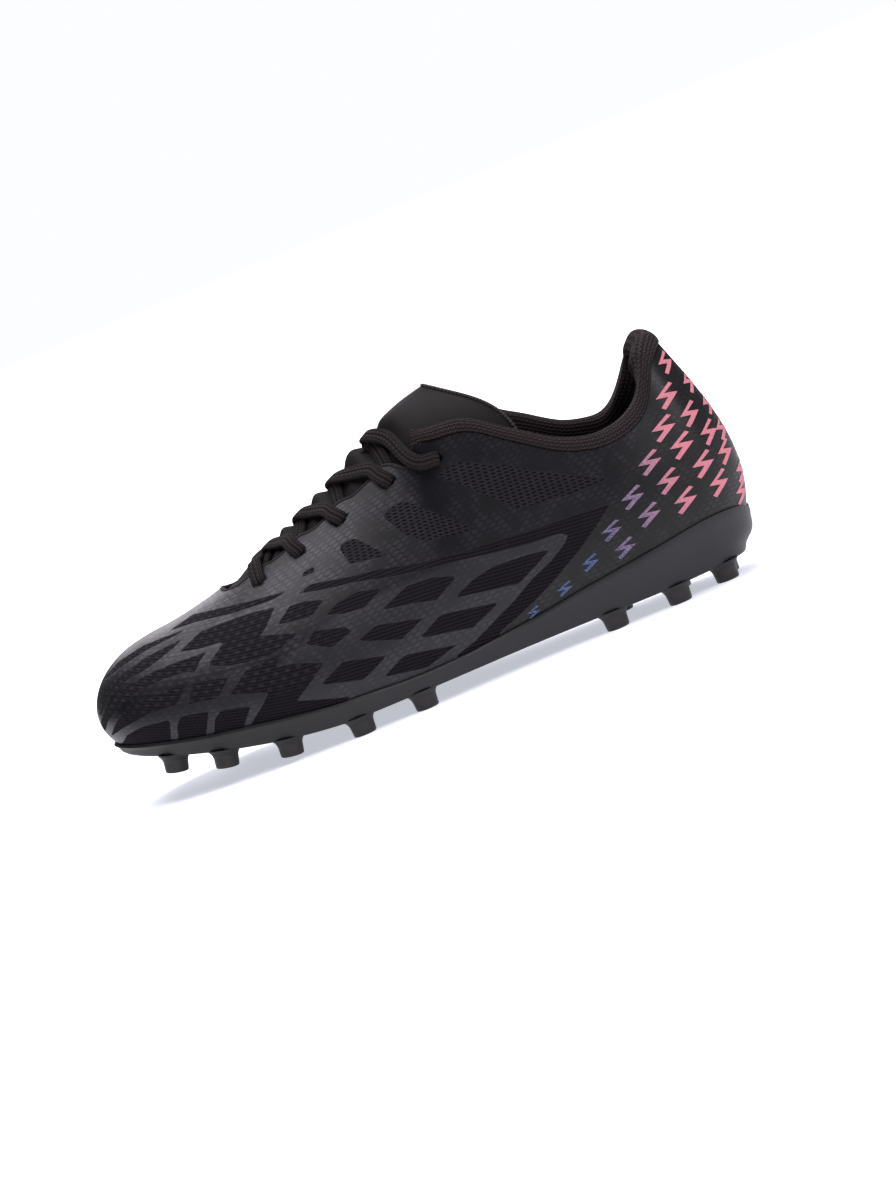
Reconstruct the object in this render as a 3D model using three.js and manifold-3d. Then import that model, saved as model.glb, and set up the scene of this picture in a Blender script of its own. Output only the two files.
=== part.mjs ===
// A football shoe for the left foot: a knitted, film-coated upper on a moulded studded plate.
// Millimetres, +Z up. The toe points along -X, and the outer side of the foot is -Y.
import * as THREE from 'three';
import { mergeVertices } from 'three/addons/utils/BufferGeometryUtils.js';
import Module from 'manifold-3d';

const wasm = await Module();
wasm.setup();

// Driving dimensions of the last, outside the upper
const length = 260;
const ballWidth = 92;
const instepHeight = 90; // ground to the throat line, in the middle of the lacing
const backHeight = 95; // ground to the top of the collar at the heel

// Sole
const studHeight = 6.5;
const toeSpring = 17.5;
const rollLine = 95; // from the toe tip to where the plate leaves the ground line
const plateThickness = 2.5;
const cupHeight = 19; // plate underside to the highest point of the heel cup
const rimWall = 1.2;
const edgeRound = 1.4;
const studTipRadius = 3.9;
const studRingRadius = 4.6;
const studRingStep = 0.8;
const studRingHeight = 4.4;
const studFootRadius = 7;
const studTipRound = 0.6;
const studInset = 4;
const studRoot = 1.2; // how deep a stud's foot sits in the plate

// Upper, collar, tongue and insole
const wall = 1.6;
const clearance = 0.3; // between pieces that lie on each other
const rollHeight = 4.5; // collar roll above the upper's edge
const collarPad = 3.5;
const liningFoot = 1.4; // lining at its lower edge
const liningStart = 4; // lower edge of the lining, in the wall's steps
const liningSetback = 0.1; // stations that the lining starts behind the collar's corner
const tonguePad = 3;
const tongueWing = 13; // tongue beyond the throat edge, on each side
const insoleThickness = 3;

// Lacing
const eyeletBore = 4.4;
const eyeletSetback = 7.5; // from the throat edge
const edgeStations = [6, 6.8, 7.7, 8.75, 9.6]; // where a strand passes over the throat edge
const crossStations = [6.45, 7.35, 8.3, 8.98]; // where two strands cross on the spine
const eyeletStations = [6.0, 6.9, 7.8, 8.9, 10.2];
const lobeDepth = 2.4; // how far the throat edge steps out round an eyelet
const lobeReach = 0.42; // half width of a lobe, in stations
const laceWidth = 4.8;
const laceThickness = 2;

// Each row is a rib of the upper, from the plate's edge up to the spine or the topline.
// along, lateral, medial: foot of the rib. top...: its upper end. Lengths are shares of
// the shoe's length, half widths and bulges shares of the ball width, and heights shares of
// the instep height or of the back height. rim is the sole's edge, a share of the cup height.
const columns = ['along', 'lateral', 'medial', 'heading', 'rim', 'topAlong', 'topLateral',
  'topMedial', 'instep', 'backLateral', 'backMedial', 'flare', 'rise', 'roof', 'drop'];
const ribs = [
  [0.019, -0.054, 0.054, 0, 0.24, 0.115, -0.043, 0.043, 0.658, 0, 0, 0.130, 0.42, 0.228, 0.03],
  [0.029, 0.076, 0.185, 22, 0.26, 0.119, -0.043, 0.043, 0.660, 0, 0, 0.136, 0.42, 0.239, 0.03],
  [0.058, 0.201, 0.299, 45, 0.30, 0.131, -0.040, 0.040, 0.667, 0, 0, 0.141, 0.42, 0.261, 0.03],
  [0.104, 0.299, 0.375, 64, 0.35, 0.158, -0.035, 0.035, 0.677, 0, 0, 0.147, 0.41, 0.283, 0.04],
  [0.165, 0.375, 0.418, 75, 0.39, 0.196, -0.027, 0.027, 0.698, 0, 0, 0.152, 0.40, 0.293, 0.05],
  [0.238, 0.429, 0.440, 82, 0.45, 0.242, -0.016, 0.016, 0.733, 0, 0, 0.158, 0.40, 0.283, 0.08],
  [0.315, 0.457, 0.429, 87, 0.45, 0.308, -0.005, 0.005, 0.809, 0, 0, 0.163, 0.40, 0.261, 0.12],
  [0.392, 0.460, 0.391, 92, 0.41, 0.381, 0, 0, 0.898, 0, 0, 0.152, 0.39, 0.239, 0.15],
  [0.469, 0.429, 0.342, 96, 0.35, 0.458, 0, 0, 1.000, 0, 0, 0.150, 0.37, 0.230, 0.17],
  [0.542, 0.383, 0.298, 97, 0.36, 0.531, 0, 0, 1.111, 0, 0, 0.145, 0.36, 0.250, 0.19],
  [0.604, 0.339, 0.268, 95, 0.43, 0.594, 0.228, 0.217, 0, 0.990, 0.995, 0.128, 0.33, 0.110, 0.30],
  [0.669, 0.310, 0.255, 93, 0.53, 0.662, 0.277, 0.266, 0, 0.968, 0.980, 0.125, 0.32, 0.054, 0.33],
  [0.731, 0.293, 0.255, 92, 0.66, 0.719, 0.299, 0.288, 0, 0.868, 0.895, 0.114, 0.32, 0.033, 0.34],
  [0.792, 0.288, 0.261, 91, 0.77, 0.781, 0.304, 0.293, 0, 0.760, 0.790, 0.103, 0.32, 0.027, 0.34],
  [0.854, 0.261, 0.250, 100, 0.88, 0.842, 0.288, 0.283, 0, 0.722, 0.748, 0.103, 0.32, 0.033, 0.34],
  [0.908, 0.190, 0.190, 128, 0.98, 0.896, 0.217, 0.217, 0, 0.771, 0.795, 0.130, 0.32, 0.054, 0.34],
  [0.942, 0.102, 0.102, 155, 0.95, 0.929, 0.133, 0.133, 0, 0.935, 0.940, 0.168, 0.32, 0.100, 0.38],
  [0.954, 0, 0, 180, 0.80, 0.944, 0, 0, 0, 0.995, 0.995, 0.206, 0.32, 0.141, 0.42],
].map((row) => Object.fromEntries(columns.map((name, i) => [name, row[i]])));
const heelStation = ribs.length - 1;
const wallSteps = 9; // facets of the wall up each rib
const throatStation = 5; // where the throat opens
const collarStation = 10; // front corner of the collar

// Share of each rib that the upper covers along the throat, between two lobes
const throatEdge = [[5, 1], [5.1, 0.93], [5.25, 0.885], [5.5, 0.855], [6, 0.825], [7, 0.81],
  [8, 0.8], [9, 0.765], [9.4, 0.775], [9.6, 0.83], [9.8, 0.925], [collarStation, 0.94]];

const lateral = -1;
const medial = 1;
const up = new THREE.Vector3(0, 0, 1);

function mix(a, b, share) {
  return a + (b - a) * share;
}

function readTable(table, at) {
  const last = table.length - 1;
  const next = Math.max(1, table.findIndex(([station]) => station >= at));
  const row = at > table[last][0] ? last : next;
  const [fromStation, from] = table[row - 1];
  const [toStation, to] = table[row];
  const share = THREE.MathUtils.clamp((at - fromStation) / (toStation - fromStation), 0, 1);
  return mix(from, to, share);
}

// Underside of the plate: level from the heel to the ball, then rising to the toe
function plateBottom(along) {
  const share = Math.max(0, 1 - along / rollLine);
  return studHeight + toeSpring * share ** 1.5;
}

// The four control points of one rib, which is a cubic Bezier curve
function ribControls(row, side) {
  const along = row.along * length;
  const half = (side === lateral ? row.lateral : row.medial) * ballWidth;
  const topHalf = (side === lateral ? row.topLateral : row.topMedial) * ballWidth;
  const back = side === lateral ? row.backLateral : row.backMedial;
  const angle = THREE.MathUtils.degToRad(row.heading);
  const outward = new THREE.Vector3(-Math.cos(angle), side * Math.sin(angle), 0);
  const foot = new THREE.Vector3(along, side * half,
    plateBottom(along) + plateThickness + clearance);
  const top = new THREE.Vector3(row.topAlong * length, side * topHalf,
    row.instep * instepHeight + back * backHeight);
  const height = top.z - foot.z;
  return [
    foot,
    foot.clone().addScaledVector(outward, row.flare * ballWidth).addScaledVector(up, row.rise * height),
    top.clone().addScaledVector(outward, row.roof * ballWidth).addScaledVector(up, -row.drop * height),
    top,
  ];
}

// Four closed rails run round the last through the control points of all ribs
const ribLoop = [
  ...ribs.map((row) => ribControls(row, lateral)),
  ...ribs.slice(1, heelStation).reverse().map((row) => ribControls(row, medial)),
];
const rails = [0, 1, 2, 3].map((control) => new THREE.CatmullRomCurve3(
  ribLoop.map((controls) => controls[control]), true, 'catmullrom', 0.5));

function loopShare(side, station) {
  const rows = side === lateral ? station : 2 * heelStation - station;
  return (rows / ribLoop.length + 1) % 1;
}

function ribAt(side, station) {
  const share = loopShare(side, station);
  return new THREE.CubicBezierCurve3(...rails.map((rail) => rail.getPoint(share)));
}

// Outward normal of the last. At the spine both sides are averaged, so that they agree.
function normalAt(side, station, share) {
  const step = 0.02;
  const inner = Math.min(share, 1 - step);
  const rib = ribAt(side, station);
  const climb = rib.getPoint(inner + step / 2).sub(rib.getPoint(Math.max(0, inner - step / 2)));
  const ahead = ribAt(side, station - step).getPoint(inner);
  const behind = ribAt(side, station + step).getPoint(inner);
  const normal = climb.cross(behind.sub(ahead)).multiplyScalar(side).normalize();
  if (share < 1 || station >= collarStation) return normal;
  const other = ribAt(-side, station);
  const otherClimb = other.getPoint(inner + step / 2).sub(other.getPoint(inner - step / 2));
  const otherAlong = ribAt(-side, station + step).getPoint(inner)
    .sub(ribAt(-side, station - step).getPoint(inner));
  return normal.add(otherClimb.cross(otherAlong).multiplyScalar(-side).normalize()).normalize();
}

// A point on the last, moved outward by the offset
function lastPoint(side, station, share, offset = 0) {
  return ribAt(side, station).getPoint(share)
    .addScaledVector(normalAt(side, station, share), offset);
}

// Where a rib reaches a height
function shareAtHeight(side, station, height) {
  const rib = ribAt(side, station);
  let low = 0;
  let high = 1;
  for (let round = 0; round < 24; round += 1) {
    const middle = (low + high) / 2;
    if (rib.getPoint(middle).z < height) low = middle;
    else high = middle;
  }
  return low;
}

// Share of the rib where the upper's edge lies: the spine, the lobed throat or the collar
function upperEdge(side, station) {
  if (station <= throatStation) return 1;
  const ribLength = ribAt(side, station).getLength();
  if (station >= collarStation) return 1 - rollHeight / ribLength;
  const nearest = Math.min(...eyeletStations.map((eyelet) => Math.abs(eyelet - station)));
  const lobe = Math.cos(Math.min(1, nearest / lobeReach) * Math.PI / 2) ** 2;
  const opened = THREE.MathUtils.smoothstep(station, throatStation, eyeletStations[0]);
  const closing = 1 - THREE.MathUtils.smoothstep(station, 9.35, collarStation);
  const edge = readTable(throatEdge, station);
  return Math.min(1, edge + lobe * opened * closing * lobeDepth / ribLength);
}

// Stations from a first to a last, finer along the throat
function stationsFrom(first, last, step) {
  const count = Math.max(1, Math.round((last - first) / step));
  return Array.from({ length: count + 1 }, (_, i) => mix(first, last, i / count));
}

const collarStations = [...stationsFrom(collarStation, 11, 0.2), ...stationsFrom(11, heelStation, 0.5).slice(1)];

function evenShares(from, to, count) {
  return Array.from({ length: count + 1 }, (_, i) => mix(from, to, i / count));
}

// Joins loops of points into one closed skin. A ring of loops closes on itself, and an open
// row of loops is capped at its ends, where a loop's first half faces its second half. Caps
// are left out where the end loops are folded flat on themselves, as at the toe and the heel.
// Each facet is split along its shorter diagonal, so that neighbouring skins match.
function skin(loops, { ring = false, caps = !ring, skip = () => false } = {}) {
  const rows = loops.length;
  const across = loops[0].length;
  const vertex = (row, column) => (row % rows) * across + (column % across);
  const points = loops.flat();
  const index = [];
  for (let row = 0; row < (ring ? rows : rows - 1); row += 1) {
    for (let column = 0; column < across; column += 1) {
      if (skip(row, column)) continue;
      const corners = [vertex(row, column), vertex(row, column + 1),
        vertex(row + 1, column + 1), vertex(row + 1, column)];
      const [a, b, c, d] = corners;
      const span = (from, to) => points[from].distanceTo(points[to]);
      if (span(a, c) < span(b, d)) index.push(a, b, c, a, c, d);
      else index.push(b, c, d, b, d, a);
    }
  }
  for (let i = 0; caps && i < across / 2 - 1; i += 1) {
    const near = [vertex(0, i), vertex(0, i + 1), vertex(0, across - 2 - i), vertex(0, across - 1 - i)];
    const far = near.map((corner) => corner + (rows - 1) * across);
    index.push(near[0], near[2], near[1], near[0], near[3], near[2]);
    index.push(far[0], far[1], far[2], far[0], far[2], far[3]);
  }
  const geometry = new THREE.BufferGeometry();
  geometry.setAttribute('position',
    new THREE.Float32BufferAttribute(points.flatMap((point) => point.toArray()), 3));
  geometry.setIndex(index);
  return geometry;
}

// A closed geometry as a solid, with its faces turned outward
function solid(geometry) {
  geometry.deleteAttribute('normal');
  geometry.deleteAttribute('uv');
  const merged = mergeVertices(geometry, 1e-3);
  const position = merged.attributes.position;
  const corner = (i) => new THREE.Vector3().fromBufferAttribute(position, i);
  let volume = 0;
  const triangles = [];
  for (let i = 0; i < merged.index.count; i += 3) {
    const [a, b, c] = [0, 1, 2].map((k) => merged.index.getX(i + k));
    if (a === b || b === c || c === a) continue;
    volume += corner(a).dot(corner(b).cross(corner(c)));
    triangles.push([a, b, c]);
  }
  const turned = volume < 0 ? triangles.map(([a, b, c]) => [a, c, b]) : triangles;
  return new wasm.Manifold(new wasm.Mesh({
    numProp: 3,
    vertProperties: new Float32Array(position.array),
    triVerts: new Uint32Array(turned.flat()),
  }));
}

function toGeometry(manifold) {
  const mesh = manifold.getMesh();
  const geometry = new THREE.BufferGeometry();
  geometry.setAttribute('position', new THREE.BufferAttribute(new Float32Array(mesh.vertProperties), 3));
  geometry.setIndex(new THREE.BufferAttribute(new Uint32Array(mesh.triVerts), 1));
  geometry.computeVertexNormals();
  return geometry;
}

// Upper: outer and inner skin of every rib, joined across the spine ahead of the throat
function makeUpper() {
  const front = stationsFrom(0, throatStation, 0.5);
  const throat = stationsFrom(throatStation, collarStation, 0.22).slice(1, -1);
  const walk = [...front, ...throat, ...collarStations];
  const round = [
    ...walk.map((station) => [lateral, station]),
    ...walk.slice(1, -1).reverse().map((station) => [medial, station]),
  ];
  const loops = round.map(([side, station]) => {
    const shares = evenShares(0, upperEdge(side, station), wallSteps);
    const outer = shares.map((share) => lastPoint(side, station, share));
    const inner = shares.map((share) => lastPoint(side, station, share, -wall));
    return [...outer, ...inner.reverse()];
  });
  const onSpine = (row) => round[row % round.length][1] <= throatStation;
  const skip = (row, column) => column === wallSteps && onSpine(row) && onSpine(row + 1);
  let upper = solid(skin(loops, { ring: true, skip }));
  for (const side of [lateral, medial]) {
    for (const station of eyeletStations) upper = upper.subtract(eyeletCutter(side, station));
  }
  return toGeometry(upper);
}

function eyeletShare(side, station) {
  return upperEdge(side, station) - eyeletSetback / ribAt(side, station).getLength();
}

function eyeletCutter(side, station) {
  const share = eyeletShare(side, station);
  const cutter = new THREE.CylinderGeometry(eyeletBore / 2, eyeletBore / 2, 4 * wall, 10);
  cutter.applyQuaternion(new THREE.Quaternion().setFromUnitVectors(
    new THREE.Vector3(0, 1, 0), normalAt(side, station, share)));
  cutter.translate(...lastPoint(side, station, share, -wall / 2).toArray());
  return solid(cutter);
}

// One side of a section through the plate, from its lower edge over the rim to the footbed
function plateSide(side, station) {
  const foot = ribAt(side, station).getPoint(0);
  const rimTop = plateBottom(foot.x) + rimShare(station) * cupHeight;
  const shares = evenShares(0, shareAtHeight(side, station, rimTop), 3);
  const outer = shares.map((share) => lastPoint(side, station, share, clearance + rimWall));
  const inner = shares.map((share) => lastPoint(side, station, share, clearance)).reverse();
  const outward = outer[0].clone().sub(foot).setZ(0).normalize();
  const low = outer[0].clone().addScaledVector(outward, -edgeRound);
  low.z = plateBottom(low.x);
  const shoulder = outer[0].clone();
  shoulder.z = low.z + edgeRound;
  const bed = inner[inner.length - 1].clone();
  bed.z = plateBottom(bed.x) + plateThickness;
  return [low, shoulder, ...outer.slice(1), ...inner, bed];
}

const rimCurve = new THREE.CatmullRomCurve3(
  ribs.map((row, station) => new THREE.Vector3(row.rim, station, 0)), false, 'catmullrom', 0.5);

function rimShare(station) {
  return rimCurve.getPoint(station / heelStation).x;
}

// Outsole: a plate with a raised rim and heel cup, moulded with its studs
function makeOutsole() {
  const acrossSteps = 4;
  const between = (from, to, height) => evenShares(0, 1, acrossSteps).slice(1, -1).map((share) => {
    const point = from.clone().lerp(to, share);
    point.z = height(point.x);
    return point;
  });
  const loops = stationsFrom(0, heelStation, 0.5).map((station) => {
    const near = plateSide(lateral, station);
    const far = plateSide(medial, station).reverse();
    const bedTop = between(near[near.length - 1], far[0], (x) => plateBottom(x) + plateThickness);
    const underside = between(far[far.length - 1], near[0], plateBottom);
    return [...near, ...bedTop, ...far, ...underside];
  });
  let outsole = solid(skin(loops, { caps: false }));
  for (const [side, station] of studPlaces) outsole = outsole.add(makeStud(side, station));
  return toGeometry(outsole);
}

// Studs follow the plate's edge: the side that each is on, and its station
const studPlaces = [
  ...[2.8, 4.1, 5.4, 6.8, 8.05, 12.4, 14, 15.6].map((station) => [lateral, station]),
  ...[1.9, 3.95, 5.5, 7.0, 12.4, 13.9, 15.6].map((station) => [medial, station]),
];

function makeStud(side, station) {
  const foot = ribAt(side, station).getPoint(0);
  const outward = normalAt(side, station, 0).setZ(0).normalize();
  const place = foot.addScaledVector(outward, -studInset);
  const slope = (plateBottom(place.x + 1) - plateBottom(place.x - 1)) / 2;
  const profile = [
    [0, -studHeight], [studTipRadius - studTipRound, -studHeight],
    [studTipRadius, -studHeight + studTipRound], [studRingRadius, -studHeight + studRingHeight],
    [studRingRadius + studRingStep, -studHeight + studRingHeight],
    [studFootRadius, studRoot / 5], [studRingRadius, studRoot], [0, studRoot],
  ].map(([radius, height]) => new THREE.Vector2(radius, height));
  const stud = new THREE.LatheGeometry(profile, 8);
  stud.rotateX(Math.PI / 2);
  stud.rotateY(-Math.atan(slope));
  stud.translate(place.x, place.y, plateBottom(place.x));
  return solid(stud);
}

// Insole: a sheet on the footbed, inside the upper's wall
function makeInsole() {
  const acrossSteps = 4;
  const inset = wall + clearance;
  const loops = stationsFrom(0, heelStation, 1).map((station) => {
    const side = (which, lift) => {
      const foot = ribAt(which, station).getPoint(0);
      const outward = normalAt(which, station, 0).setZ(0).normalize();
      const edge = foot.addScaledVector(outward, -inset);
      edge.z = plateBottom(edge.x) + plateThickness + lift;
      return edge;
    };
    const row = (lift) => evenShares(0, 1, acrossSteps).map((share) => {
      const point = side(lateral, lift).lerp(side(medial, lift), share);
      point.z = plateBottom(point.x) + plateThickness + lift;
      return point;
    });
    return [...row(clearance), ...row(clearance + insoleThickness).reverse()];
  });
  return toGeometry(solid(skin(loops, { caps: false })));
}

// Collar lining: padding inside the ankle that rolls out over the upper's edge
function makeCollarLining() {
  const walk = [collarStation + liningSetback, ...collarStations.slice(1)];
  const round = [
    ...walk.map((station) => [lateral, station]),
    ...walk.slice(0, -1).reverse().map((station) => [medial, station]),
  ];
  const loops = round.map(([side, station]) => {
    const ribLength = ribAt(side, station).getLength();
    const edge = upperEdge(side, station);
    const lip = edge + clearance / ribLength;
    const depth = wall + clearance;
    const place = (share, offset) => lastPoint(side, station, share, offset);
    const outside = [
      ...evenShares(0, edge, wallSteps).slice(liningStart).map((share) => place(share, -depth)),
      place(lip, -depth), place(lip, 0), place(mix(lip, 1, 0.35), clearance),
      place(mix(lip, 1, 0.75), -0.12 * collarPad), place(1, -0.5 * collarPad),
    ];
    const start = edge * liningStart / wallSteps;
    const thickness = (share) => mix(liningFoot, collarPad, (share - start) / (1 - start));
    const inside = [
      ...evenShares(0, edge, wallSteps).slice(liningStart), ...evenShares(lip, mix(lip, 1, 0.8), 4),
    ].map((share) => place(share, -depth - thickness(share)));
    return [...outside, ...inside.reverse()];
  });
  return toGeometry(solid(skin(loops)));
}

// Tongue: follows the underside of the upper, then stands free as an arch above the instep.
// Rows of the free part: centre (along, height) and wing (station, share of its rib), with
// how far the arch runs out flat at its centre and back at its wing.
const tongueTop = [
  { along: 0.577, height: 1.170, station: 10.5, share: 0.78, shoulder: 0.12, reach: 0.035 },
  { along: 0.615, height: 1.216, station: 11.6, share: 0.92, shoulder: 0.12, reach: 0.050 },
];

function makeTongue() {
  const halfSteps = 5;
  const depth = wall + 2 * clearance;
  const hidden = stationsFrom(throatStation - 0.5, 9, 0.5);
  const covered = (offset) => hidden.map((station) => {
    const half = (side) => {
      const wing = tongueWing / ribAt(side, station).getLength();
      return evenShares(Math.min(upperEdge(side, station), 0.84) - wing, 1, halfSteps)
        .map((share) => lastPoint(side, station, share, offset));
    };
    return [...half(lateral), ...half(medial).reverse().slice(1)];
  });
  const inside = wall + clearance + collarPad + 2 * clearance;
  const free = (offset) => tongueTop.map((row) => {
    const half = (side) => {
      const centre = new THREE.Vector3(row.along * length, 0, row.height * instepHeight);
      const wing = lastPoint(side, row.station, row.share, -inside);
      const shoulder = centre.clone().add(new THREE.Vector3(0, side * row.shoulder * ballWidth, 0));
      const back = wing.clone().add(new THREE.Vector3(-row.reach * length, 0, row.reach * length));
      const arch = new THREE.CubicBezierCurve3(wing, back, shoulder, centre);
      return evenShares(0, 1, halfSteps).map((share) => {
        const tangent = arch.getTangent(share);
        const lean = new THREE.Vector3(1, 0, 0.9).normalize();
        const inward = tangent.clone().cross(lean).cross(tangent).normalize();
        return arch.getPoint(share).addScaledVector(inward, offset);
      });
    };
    return [...half(lateral), ...half(medial).reverse().slice(1)];
  });
  const outer = [...covered(-depth), ...free(0)];
  const inner = [...covered(-depth - tonguePad), ...free(tonguePad)];
  return toGeometry(solid(skin(outer.map((row, i) => [...row, ...inner[i].reverse()]))));
}

// A flat lace strand through points that each know the surface normal under them
function strand(places) {
  const points = places.map(([side, station, share, lift]) => lastPoint(side, station, share, lift));
  const normals = places.map(([side, station, share]) => normalAt(side, station, share));
  const path = new THREE.CatmullRomCurve3(points);
  const facing = new THREE.CatmullRomCurve3(normals);
  const steps = 8;
  const sides = 6;
  const loops = evenShares(0, 1, steps).map((share) => {
    const normal = facing.getPoint(share).normalize();
    const across = path.getTangent(share).cross(normal).normalize();
    return Array.from({ length: sides }, (_, i) => {
      const angle = (i + 0.5) / sides * 2 * Math.PI;
      return path.getPoint(share)
        .addScaledVector(across, Math.cos(angle) * laceWidth / 2 / Math.cos(Math.PI / sides))
        .addScaledVector(normal, Math.sin(angle) * laceThickness / 2);
    });
  });
  return solid(skin(loops));
}

// Lace: a straight bar at the first eyelets, then crossings that rise to the last ones
function makeLace() {
  const onFlap = clearance + laceThickness / 2;
  const laceRise = 0.5; // where a taut strand bridges the rounded flap
  const onTongue = -wall + laceThickness / 2 + 1.5 * clearance;
  const first = eyeletStations[0];
  const overEdge = (side, station) => [side, station, upperEdge(side, station) + 0.02, onFlap];
  const atEyelet = (side, station) => [side, station, eyeletShare(side, station), onFlap];
  const beforeEyelet = (side, i) => {
    const station = mix(edgeStations[i], eyeletStations[i], 0.5);
    const share = (upperEdge(side, edgeStations[i]) + eyeletShare(side, eyeletStations[i])) / 2;
    return [side, station, share, onFlap + laceRise];
  };
  let lace = strand([
    atEyelet(lateral, first), overEdge(lateral, first), [lateral, first, 1, onTongue + 0.4],
    overEdge(medial, first), atEyelet(medial, first),
  ]);
  for (let i = 0; i + 1 < eyeletStations.length; i += 1) {
    for (const side of [lateral, medial]) {
      const over = side === medial ? laceThickness * 0.8 : 0;
      lace = lace.add(strand([
        overEdge(side, eyeletStations[i]),
        [side, crossStations[i], 1, onTongue + over],
        overEdge(-side, edgeStations[i + 1]), beforeEyelet(-side, i + 1),
        atEyelet(-side, eyeletStations[i + 1]),
      ]));
    }
  }
  return toGeometry(lace);
}

const film = { color: 0x232224, roughness: 0.55, metalness: 0 };
const pieces = [
  ['outsole', makeOutsole, { color: 0x242325, roughness: 0.6, metalness: 0 }],
  ['upper', makeUpper, film],
  ['collar_lining', makeCollarLining, { color: 0x2e2829, roughness: 0.95, metalness: 0 }],
  ['tongue', makeTongue, { color: 0x3a3836, roughness: 0.85, metalness: 0 }],
  ['insole', makeInsole, { color: 0x1d1c1d, roughness: 0.9, metalness: 0 }],
  ['lace', makeLace, { color: 0x2a2523, roughness: 0.9, metalness: 0 }],
];

const shoe = new THREE.Group();
for (const [name, make, finish] of pieces) {
  const mesh = new THREE.Mesh(make(), new THREE.MeshStandardMaterial(finish));
  mesh.name = name;
  shoe.add(mesh);
}

// The origin is on the ground, under the middle of the shoe
const box = new THREE.Box3().setFromObject(shoe);
shoe.position.set(-(box.min.x + box.max.x) / 2, -(box.min.y + box.max.y) / 2, -box.min.z);

export default shoe;
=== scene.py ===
# A football shoe for the left foot, dressed for the camera: knitted upper with a film print,
# padded collar, microfibre tongue, flat lace and a moulded studded plate.
import math

import bpy
import numpy as np
from mathutils import Matrix, Vector
from mathutils.bvhtree import BVHTree


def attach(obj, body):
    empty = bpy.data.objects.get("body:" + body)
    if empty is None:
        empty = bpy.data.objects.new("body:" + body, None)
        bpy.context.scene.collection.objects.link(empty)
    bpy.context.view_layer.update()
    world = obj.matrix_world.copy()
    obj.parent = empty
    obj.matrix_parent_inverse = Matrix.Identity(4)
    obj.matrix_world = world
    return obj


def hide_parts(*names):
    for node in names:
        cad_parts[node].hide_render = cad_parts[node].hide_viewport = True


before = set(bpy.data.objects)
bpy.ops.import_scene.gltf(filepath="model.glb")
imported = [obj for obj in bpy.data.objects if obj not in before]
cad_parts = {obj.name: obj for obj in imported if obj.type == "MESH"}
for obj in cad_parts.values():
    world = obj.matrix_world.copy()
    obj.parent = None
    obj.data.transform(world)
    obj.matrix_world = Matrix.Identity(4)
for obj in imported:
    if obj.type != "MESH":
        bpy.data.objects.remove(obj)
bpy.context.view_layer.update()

# Camera: a long lens a little behind the shoe's outer side and just above it.
# The picture has the heel raised, so the camera is rolled and the shoe stays level.
azimuth, elevation, roll = (math.radians(angle) for angle in (6.66, 5.79, 22.42))
distance = 1.6
looked_at = Vector((0.0124, -0.0193, 0.0331))
back = Vector((math.sin(azimuth) * math.cos(elevation),
               -math.cos(azimuth) * math.cos(elevation), math.sin(elevation)))
level = Vector((math.cos(azimuth), math.sin(azimuth), 0))
upright = back.cross(level)
right = level * math.cos(roll) - upright * math.sin(roll)
above = level * math.sin(roll) + upright * math.cos(roll)
bpy.ops.object.camera_add(location=looked_at + back * distance)
camera = bpy.context.object
camera.name = "camera"
camera.rotation_euler = Matrix((right, above, back)).transposed().to_euler()
camera.data.lens = 131.96
camera.data.clip_start = 0.05
bpy.context.scene.camera = camera
bpy.context.scene.view_settings.view_transform = "Standard"


# Shader arithmetic: a Value is a socket, and each sign between Values adds one Math node
class Value:
    tree = None  # nodes of the material being made

    def __init__(self, socket):
        self.socket = socket

    @staticmethod
    def node(kind, settings=None, output=0, **inputs):
        made = Value.tree.nodes.new("ShaderNode" + kind)
        for name, setting in (settings or {}).items():
            setattr(made, name, setting)
        for name, value in inputs.items():
            key = int(name[1:]) if name[0] == "i" and name[1:].isdigit() else name.replace("_", " ")
            if isinstance(value, Value):
                Value.tree.links.new(value.socket, made.inputs[key])
            else:
                made.inputs[key].default_value = value
        return Value(made.outputs[output])

    @staticmethod
    def math(operation, *terms):
        return Value.node("Math", {"operation": operation},
                          **{f"i{place}": term for place, term in enumerate(terms)})

    def __add__(self, other):
        return Value.math("ADD", self, other)

    def __radd__(self, other):
        return Value.math("ADD", other, self)

    def __sub__(self, other):
        return Value.math("SUBTRACT", self, other)

    def __rsub__(self, other):
        return Value.math("SUBTRACT", other, self)

    def __mul__(self, other):
        return Value.math("MULTIPLY", self, other)

    def __rmul__(self, other):
        return Value.math("MULTIPLY", other, self)

    def __truediv__(self, other):
        return Value.math("DIVIDE", self, other)

    def step(self, low, high):
        """0 below low and 1 above high, with a soft rise between them."""
        return Value.node("MapRange", {"interpolation_type": "SMOOTHSTEP"},
                          Value=self, From_Min=low, From_Max=high)

    def mix(self, first, second):
        """The first colour where this Value is 0, the second where it is 1."""
        return Value.node("Mix", {"data_type": "RGBA"}, 2, i0=self, i6=first, i7=second)


def object_place():
    return Value.node("TexCoord", output=3)


def begin(name):
    """A new material whose nodes the Values are added to."""
    material = bpy.data.materials.new(name)
    material.use_nodes = True
    Value.tree = material.node_tree
    return material


def finish(material, base, roughness, height=None, relief=0.1, **constants):
    """Links what varies to the surface shader. Relief is the height of 1, in millimetres."""
    shader = material.node_tree.nodes["Principled BSDF"]
    for name, value in {"Base Color": base, "Roughness": roughness}.items():
        if isinstance(value, Value):
            material.node_tree.links.new(value.socket, shader.inputs[name])
        else:
            shader.inputs[name].default_value = value
    for name, value in constants.items():
        shader.inputs[name.replace("_", " ")].default_value = value
    if height is not None:
        bump = Value.node("Bump", Height=height, Distance=relief / 1000)
        material.node_tree.links.new(bump.socket, shader.inputs["Normal"])
    return material


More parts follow.
